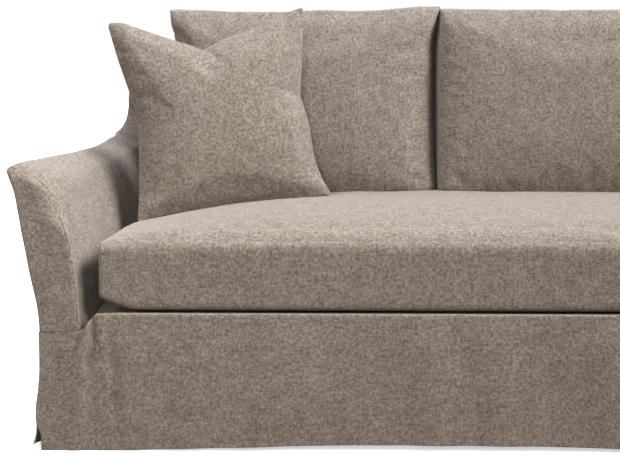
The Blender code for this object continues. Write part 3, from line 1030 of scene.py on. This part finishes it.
def finishCushion(piece, place, node):
    piece.data.transform(Matrix.Translation((0.0, frontY, floorZ)) @ place)
    piece.data.update()
    piece.data.shade_smooth()
    finishPiece(piece, node, "cushion_cloth")


seat = {
    "front": 0.009,
    "size": (1.412, 0.715, 0.15),
    "radius": 0.009,
    "roundFront": 0.032,        # the soft top front edge
    "roundEnds": 0.02,          # and at its two ends
    "roundBack": 0.045,
    "roundUnder": 0.013,
    "crown": 0.043,
    "crownFront": 0.23,         # what is left of the crown over the front edge
    "pinch": 0.2,
    "lift": 0.026,              # the front's lower corners turn up by this much
    "liftFrom": 0.63,
    "draw": (0.006, 0.007),     # how far the ends stand in, and the front corners beyond that
    "endDrop": 0.012,
    "pillowDent": 0.012,        # where the throw pillow stands
    "backDent": 0.003,          # and the back cushions
    "spacing": 0.0085,
    "uneven": (0.16, 6.1, 2, 0.0022),
    "fill": 0.8,
    # the cloth's stiffness, the filling's pressure, the share of cloth to spare, and the most that any
    # point may move
    "settle": {"stretch": 12.0, "bend": 0.8, "pressure": 3.0, "spare": 0.012, "frames": 18, "cap": 0.004},
}


def makeSeat():
    half = np.array(seat["size"]) / 2.0
    piece = boxGrid("seatCushion", [gridLines(side, seat["radius"], seat["spacing"]) for side in half])
    mesh = piece.data
    layWeave(piece)
    shaped = softEnds(readPoints(mesh), half, seat["radius"])
    x, y, z = shaped.T
    front = seat["roundFront"] + (seat["roundEnds"] - seat["roundFront"]) * np.abs(x / half[0]) ** 14
    under = seat["roundUnder"]
    rounds = ((-1, 1, front), (1, 1, seat["roundBack"]), (-1, -1, under), (1, -1, under))
    for signA, signB, radius in rounds:
        y, z = roundCorner(y, z, half[1], half[2], signA, signB, radius)
    u, v, w = x / half[0], y / half[1], z / half[2]
    corner = (np.abs(u) * np.abs(v)) ** 8
    flatter = ease(-0.3, 0.5, v)
    left = 1.0 - seat["crownFront"] * (1.0 - flatter)
    crown = (1.0 - np.abs(u) ** (3.0 + 4.0 * flatter)) * (1.0 - left * np.abs(v) ** (2.2 + 5.3 * flatter))
    upper = np.maximum(w, 0.0)
    pinch = seat["pinch"] * corner * (w > 0.0) * (v > 0.0)
    z = z * (1.0 - pinch) + upper * seat["crown"] * crown
    z -= seat["endDrop"] * upper * np.abs(u) ** 12 * (1.0 - ease(-0.95, -0.25, v))
    turned = np.clip((np.abs(x) - seat["liftFrom"]) / (half[0] - seat["liftFrom"]), 0.0, 1.0) ** 1.5
    z += seat["lift"] * turned * (1.0 - ease(-1.0, -0.55, v)) * np.maximum(-w, 0.0)
    standIn, cornerIn = seat["draw"]
    x = x - u * np.abs(u) * (standIn + cornerIn * (1.0 - ease(-1.02, -0.88, v)))
    y = y - 0.004 * v * np.abs(v) * (1.0 - u * u) * (v > 0.0)
    writePoints(mesh, np.stack([x, y, z], axis=1))
    # its top swells, and its boxed front and ends stay flat
    held = np.maximum(ease(-0.045, -0.065, z), 0.98 * ease(-0.93, -0.98, v) * (z < half[2] - 0.01))
    held = np.maximum(held, 0.98 * ease(0.97, 0.99, np.abs(u)))
    print("seat settled by", round(settle(piece, seat["settle"], held), 4))
    points, normals = readPoints(mesh), readNormals(mesh)
    soft = wander(points, *seat["uneven"]) * ease(-0.06, 0.0, points[:, 2])
    points += normals * soft[:, None]
    placeY = seat["front"] + half[1]
    along = points[:, 0] + 0.5
    across = points[:, 1] + placeY - (0.375 + 0.37 * along)
    dent = np.exp(-(across / 0.06) ** 2) * (1.0 - ease(0.2, 0.3, np.abs(along)))
    dent = seat["pillowDent"] * dent + seat["backDent"] * ease(0.4, 0.52, points[:, 1] + placeY)
    points[:, 2] -= dent * ease(0.02, 0.06, points[:, 2])
    writePoints(mesh, points)
    place = Matrix.Translation((0.0, placeY, sofa["deckHeight"] + sofa["seamGap"] + half[2]))
    finishCushion(piece, place, "seat_cushion")


backCushion = {
    "size": (0.708, 0.479, 0.237),
    "radius": 0.009,
    # how far from its outline the front starts to roll back, and what is left of the thickness there
    "rollOuter": (0.06, 0.6),
    "rollInner": {"Left": (0.085, 0.46), "Right": (0.032, 0.8)},
    "rollTop": (0.06, 0.58),
    "rollFoot": (0.022, 0.9),
    "tipPinch": 0.7,
    "crownFront": 0.042,
    "crownBack": 0.014,
    "footDraw": -0.0045,
    "ear": 0.022,               # how far the upper corners are pulled out
    "lean": math.radians(12.3),
    "middle": (0.355, 0.6862, 0.718),
    "spacing": 0.0075,
    "uneven": {"Left": (0.13, 7.0, 2, 0.0025), "Right": (0.13, 9.0, 2, 0.0025)},
    "fill": 0.7,
    # where the two cushions press on each other between their fronts and backs
    "meet": ((-1.0, -0.002), (-0.5, -0.006), (0.51, -0.0065), (0.72, -0.001), (0.83, 0.002),
             (1.0, 0.0055)),
    # how far in each edge of the outline stands, from its bottom up or from its left end on
    "earEdge": ((-1.0, 0.004), (-0.5, 0.012), (0.0, 0.017), (0.34, 0.018), (0.62, 0.017), (0.69, 0.015),
                (0.826, 0.004), (0.97, -0.003), (1.0, -0.004)),
    "Left": {
        "inner": ((-1.0, 0.003), (-0.49, 0.011), (0.175, 0.013), (0.51, 0.012), (0.62, 0.01),
                  (0.72, 0.006),
                  (0.83, 0.002), (0.91, -0.001), (1.0, -0.005)),
        "top": ((-1.0, 0.0075), (-0.77, 0.0105), (-0.32, 0.0155), (0.127, 0.0105), (0.425, 0.0125),
                (0.72, 0.0055), (0.87, 0.0005), (1.0, 0.0005)),
    },
    "Right": {
        "inner": ((-1.0, -0.001), (-0.25, -0.002), (0.51, -0.001), (0.62, 0.001), (0.72, 0.004),
                  (0.83, 0.006),
                  (0.91, 0.008), (1.0, 0.005)),
        "top": ((-1.0, 0.005), (-0.96, 0.006), (-0.9, 0.007), (-0.75, 0.009), (0.0, 0.0105), (0.8, 0.006),
                (1.0, 0.0005)),
    },
    "settle": {"stretch": 10.0, "bend": 0.6, "pressure": 3.0, "spare": 0.015, "frames": 18, "cap": 0.005},
    "creases": {
        "Left": [
            (296, -168, 346, -238, 7, 10, 4.5),
            (300, 50, 345, 100, 12, 20, 2),
            (-335, 222, -270, 160, 12, 18, -3),
            (335, 222, 280, 150, 12, 18, -3),
            (-200, -200, -50, -170, 16, 22, 1.8),
        ],
        "Right": [
            (-335, 222, -280, 150, 12, 18, -2.5),
            (335, 222, 270, 160, 12, 18, -3),
            (-335, -100, -290, -160, 12, 18, 2.5),
            (50, -210, 220, -170, 16, 22, 1.8),
        ],
    },
}


def makeBackCushion(side, label):
    half = np.array(backCushion["size"]) / 2.0
    lines = [gridLines(size, backCushion["radius"], backCushion["spacing"]) for size in half]
    piece = boxGrid("backCushion" + label, lines)
    mesh = piece.data
    layWeave(piece)
    shaped = softBox(readPoints(mesh), half, backCushion["radius"])
    x, y, z = shaped.T
    u, v, w = x / half[0], y / half[1], z / half[2]

    def rolled(share, size, reach, least):
        over = np.clip(1.0 - (1.0 - np.abs(share)) * size / reach, 0.0, 1.0)
        return least + (1.0 - least) * np.sqrt(1.0 - over ** 2 * 0.995)

    topRoll = rolled(v, half[1], *backCushion["rollTop"])
    footRoll = rolled(v, half[1], *backCushion["rollFoot"])
    isInner = u * side < 0.0        # the half beside the other cushion
    innerRoll = rolled(u, half[0], *backCushion["rollInner"][label])
    sideRoll = np.where(isInner, innerRoll, rolled(u, half[0], *backCushion["rollOuter"]))
    thick = sideRoll * np.where(v > 0.0, topRoll, footRoll)
    thick *= 1.0 - backCushion["tipPinch"] * (np.abs(u) * np.abs(v)) ** 22 * (v > 0.0)
    crown = np.where(w > 0.0, backCushion["crownFront"], backCushion["crownBack"])
    z = z * thick + w * crown * (1.0 - np.abs(u) ** 3) * (1.0 - np.abs(v) ** 2.5)
    edges = backCushion[label]
    innerIn, outerIn = curveOf(edges["inner"])(v), curveOf(backCushion["earEdge"])(v)
    x = x - np.where(isInner, innerIn, outerIn) * u * np.abs(u)
    footIn = backCushion["footDraw"] * (1.0 - u * u)
    y = y - np.where(v > 0.0, curveOf(edges["top"])(u), footIn) * v * np.abs(v)
    pressed = isInner * ease(0.955, 1.0, np.abs(u)) * (1.0 - ease(0.3, 0.8, np.abs(w)))
    meeting = curveOf(backCushion["meet"])(v) - side * (0.0004 + backCushion["middle"][0])
    x = x + pressed * (meeting - x)
    ear = backCushion["ear"] * (np.abs(u) * np.maximum(v, 0.0)) ** 30
    x = x + np.sign(u) * ear * np.where(isInner, 0.1, 0.85)
    y = y + ear * np.where(isInner, 0.2 - 0.1 * side, 0.12)
    writePoints(mesh, np.stack([x, y, z], axis=1))
    held = np.maximum(ease(-half[2] * 0.3, -half[2] * 0.6, z), (np.abs(w) < 0.999) * 0.6)
    held = np.maximum(held, isInner * ease(0.93, 0.97, np.abs(u)))
    print("back cushion settled by", round(settle(piece, backCushion["settle"], held), 4))
    points, normals = readPoints(mesh), readNormals(mesh)
    front = ease(0.0, 0.06, points[:, 2])
    relief = creaseField(points[:, 0], points[:, 1], backCushion["creases"][label]) * front
    relief += wander(points, *backCushion["uneven"][label]) * front
    points += normals * relief[:, None]
    points[:, 2] -= math.tan(backCushion["lean"]) * points[:, 1]
    writePoints(mesh, points)
    x, depth, height = backCushion["middle"]
    place = Matrix.Translation((side * x, depth, height)) @ Matrix.Rotation(math.pi / 2, 4, "X")
    finishCushion(piece, place, "back_cushion_" + label.lower())


pillow = {
    "half": 0.235,
    "thickness": 0.15,
    "seam": 0.004,
    "tipRound": 0.045,          # of the half width
    # how far in the seam stands along each edge, from its lower or left end on
    "left": ((-1.0, 0.0), (-0.78, 0.011), (-0.53, 0.02), (-0.3, 0.027), (0.02, 0.033), (0.16, 0.029),
             (0.41, 0.018), (0.65, 0.0075), (1.0, -0.004)),
    "right": ((-1.0, 0.0), (-0.79, 0.02), (-0.54, 0.03), (-0.3, 0.03), (-0.03, 0.038), (0.04, 0.041),
              (0.2, 0.034), (0.46, 0.022), (0.78, 0.008), (1.0, 0.0)),
    "top": ((-1.0, 0.0), (-0.88, 0.002), (-0.74, 0.0165), (-0.42, 0.052), (-0.22, 0.073), (-0.115, 0.086),
            (-0.03, 0.077), (0.2, 0.057), (0.38, 0.0475), (0.65, 0.024), (0.88, 0.0065), (1.0, 0.0)),
    "bottom": ((-1.0, -0.007), (-0.66, 0.003), (-0.14, 0.006), (0.3, 0.001), (0.68, -0.006),
               (1.0, -0.007)),
    "middle": (-0.52, 0.417, 0.6898),
    "turn": math.radians(20.3),
    "tilt": math.radians(79.9),
    "spin": math.radians(6.1),
    "spacing": 0.0048,
    "uneven": (0.1, 12.0, 2, 0.0025),
    "fill": 0.6,
    "settle": {"stretch": 8.0, "bend": 0.3, "pressure": 2.5, "spare": 0.012, "frames": 18, "cap": 0.0035},
    "creases": [
        (-26, 158, -60, 90, 6, 10, -5),
        (-26, 158, 0, 105, 6, 10, -4.5),
        (-40, 150, -95, 120, 6, 8, 2.5),
        (-215, 50, -150, 40, 8, 12, -2.5),
        (-205, -200, -120, -130, 14, 20, -3),
        (205, -200, 130, -140, 14, 20, -3),
        (205, 200, 130, 120, 14, 20, -3),
        (-205, 200, -140, 120, 14, 20, -3),
        (215, 10, 120, 30, 9, 12, -3),
        (150, -50, 205, -35, 10, 12, 2.5),
    ],
}


def pillowOutline(u, v):
    # where points of the pillow's flat square go once its edges are drawn in and its tips rounded
    for signA in (-1, 1):
        for signB in (-1, 1):
            u, v = roundCorner(u, v, 1.0, 1.0, signA, signB, pillow["tipRound"])
    x = pillow["half"] * u
    x += np.where(u < 0.0, curveOf(pillow["left"])(v), -curveOf(pillow["right"])(v)) * np.abs(u) ** 1.6
    y = pillow["half"] * v
    y += np.where(v < 0.0, curveOf(pillow["bottom"])(u), -curveOf(pillow["top"])(u)) * np.abs(v) ** 1.6
    return u, v, x, y


def makePillow():
    inner = steps(-0.97, 0.97, round(1.94 * pillow["half"] / pillow["spacing"]))
    lines = [-1.0, -0.995, -0.985] + inner + [0.985, 0.995, 1.0]
    count = len(lines)
    u, v = np.meshgrid(lines, lines)
    u, v, x, y = pillowOutline(u.ravel(), v.ravel())
    dome = np.maximum(1.0 - np.abs(u) ** 2.4, 0.0) * np.maximum(1.0 - np.abs(v) ** 2.4, 0.0)
    z = 0.5 * (pillow["seam"] + (pillow["thickness"] - pillow["seam"]) * dome ** 0.62)
    points = np.concatenate([np.stack([x, y, z], axis=1), np.stack([x, y, -z], axis=1)])
    faces = []
    back = count * count
    for j in range(count - 1):
        for i in range(count - 1):
            a, b, c, d = j * count + i, j * count + i + 1, (j + 1) * count + i + 1, (j + 1) * count + i
            faces += [(a, b, c, d), (back + a, back + d, back + c, back + b)]
    rim = list(range(count))
    rim += [j * count + count - 1 for j in range(1, count)]
    rim += [(count - 1) * count + i for i in range(count - 2, -1, -1)]
    rim += [j * count for j in range(count - 2, 0, -1)]
    for first, second in zip(rim, rim[1:] + rim[:1]):
        faces.append((first, back + first, back + second, second))
    mesh = bpy.data.meshes.new("throwPillow")
    mesh.from_pydata(points.tolist(), [], faces)
    piece = addObject("throwPillow", mesh)
    layWeave(piece)
    held = np.zeros(len(points))
    held[rim] = 1.0
    held[[back + i for i in rim]] = 1.0
    print("pillow settled by", round(settle(piece, pillow["settle"], held), 4))
    shaped, normals = readPoints(mesh), readNormals(mesh)
    front = ease(0.0, 0.03, shaped[:, 2])
    relief = creaseField(shaped[:, 0], shaped[:, 1], pillow["creases"]) * front
    relief += wander(shaped, *pillow["uneven"]) * ease(0.0, 0.03, np.abs(shaped[:, 2]))
    writePoints(mesh, shaped + normals * relief[:, None])
    turned = Matrix.Rotation(pillow["turn"], 4, "Z") @ Matrix.Rotation(pillow["tilt"], 4, "X")
    place = Matrix.Translation(pillow["middle"]) @ turned @ Matrix.Rotation(pillow["spin"], 4, "Z")
    finishCushion(piece, place, "throw_pillow")


makeSeat()
for side, label in sides:
    makeBackCushion(side, label)
makePillow()
print("cushions ready")

# Each light is a far soft box: azimuth from the sofa's front towards its right end, height over
# the floor in degrees, width in degrees, strength and colour.
studioLight = namedtuple("studioLight", "azimuth elevation width strength colour")
studio = {
    "floorSize": 80.0,
    "floorColour": (0.9, 0.895, 0.89, 1.0),
    "floorGlow": 0.55,          # so that the floor is white to its edge
    "backdrop": (1.0, 1.0, 1.0, 1.0),
    "fill": 0.01,
    "lights": {
        "right": studioLight(83, 48, 18, 3.75, (0.95, 1.0, 1.05)),
        "rightFront": studioLight(60, 30, 20, 2.65, (1.03, 1.0, 0.97)),
        "rightBack": studioLight(120, 45, 20, 1.3, (0.97, 1.0, 1.0)),
        "back": studioLight(200, 18, 30, 1.8, (1.0, 1.0, 1.0)),
        "leftHigh": studioLight(-80, 60, 30, 2.3, (0.96, 1.0, 1.06)),
    },
    # a near soft box in front, whose light fades towards the hem and the right end
    "frontBox": {"place": (-0.55, -1.9, 1.45), "aim": (-0.2, 0.1, 0.35), "size": 1.2, "power": 38.0,
                 "colour": (1.07, 0.99, 0.92)},
}


def makeFloor():
    bpy.ops.object.select_all(action="DESELECT")
    bpy.ops.mesh.primitive_plane_add(size=studio["floorSize"], location=(0.0, 0.0, floorZ - 0.0002))
    floor = bpy.context.object
    floor.name = "studioFloor"
    bpy.ops.object.transform_apply(location=True, rotation=True, scale=True)
    paint = bpy.data.materials.new("pale floor")
    paint.use_nodes = True
    shader = paint.node_tree.nodes["Principled BSDF"]
    shader.inputs["Base Color"].default_value = studio["floorColour"]
    shader.inputs["Roughness"].default_value = 0.9
    shader.inputs["Specular IOR Level"].default_value = 0.2
    shader.inputs["Emission Color"].default_value = studio["backdrop"]
    shader.inputs["Emission Strength"].default_value = studio["floorGlow"]
    floor.data.materials.append(paint)
    floor.visible_diffuse = False       # it throws no light back up at the cloth


def makeLight(name, box):
    data = bpy.data.lights.new(name, "SUN")
    data.energy = box.strength
    data.color = box.colour
    data.angle = math.radians(box.width)
    lamp = addObject(name, data)
    around, up = math.radians(box.azimuth), math.radians(box.elevation)
    source = Vector((math.sin(around) * math.cos(up), -math.cos(around) * math.cos(up), math.sin(up)))
    lamp.location = source * 6.0
    lamp.rotation_euler = (-source).to_track_quat("-Z", "Y").to_euler()


def makeFrontBox(box):
    data = bpy.data.lights.new("frontBox", "AREA")
    data.size = box["size"]
    data.energy = box["power"]
    data.color = box["colour"]
    lamp = addObject("frontBox", data)
    lamp.visible_camera = False
    lamp.location = Vector(box["place"]) + Vector((0.0, frontY, floorZ))
    lamp.rotation_euler = (Vector(box["aim"]) - Vector(box["place"])).to_track_quat("-Z", "Y").to_euler()


def makeSky():
    # a white backdrop that itself lights the cloth only a little
    world = bpy.data.worlds.new("studio")
    world.use_nodes = True
    tree = world.node_tree
    fill = tree.nodes["Background"]
    fill.inputs["Strength"].default_value = studio["fill"]
    backdrop = tree.nodes.new("ShaderNodeBackground")
    backdrop.inputs["Color"].default_value = studio["backdrop"]
    seen = tree.nodes.new("ShaderNodeLightPath")
    mix = tree.nodes.new("ShaderNodeMixShader")
    tree.links.new(seen.outputs["Is Camera Ray"], mix.inputs[0])
    tree.links.new(fill.outputs[0], mix.inputs[1])
    tree.links.new(backdrop.outputs[0], mix.inputs[2])
    tree.links.new(mix.outputs[0], tree.nodes["World Output"].inputs["Surface"])
    bpy.context.scene.world = world


view = {
    "lens": 58.88,
    "sensor": 36.0,
    "shift": (-0.18, -0.13),
    "place": (0.0, -2.03, 0.752),
    "down": math.radians(3.6059),
    "leftward": math.radians(0.9266),
}


def makeCamera():
    data = bpy.data.cameras.new("camera")
    data.lens = view["lens"]
    data.sensor_width = view["sensor"]
    data.shift_x, data.shift_y = view["shift"]
    camera = addObject("camera", data)
    x, depth, height = view["place"]
    camera.location = (x, depth + frontY, height + floorZ)
    camera.rotation_euler = (math.pi / 2 - view["down"], 0.0, view["leftward"])
    bpy.context.scene.camera = camera


makeFloor()
for name, box in studio["lights"].items():
    makeLight(name, box)
makeFrontBox(studio["frontBox"])
makeSky()
makeCamera()
bpy.context.scene.view_settings.view_transform = "Standard"

print("scene ready")
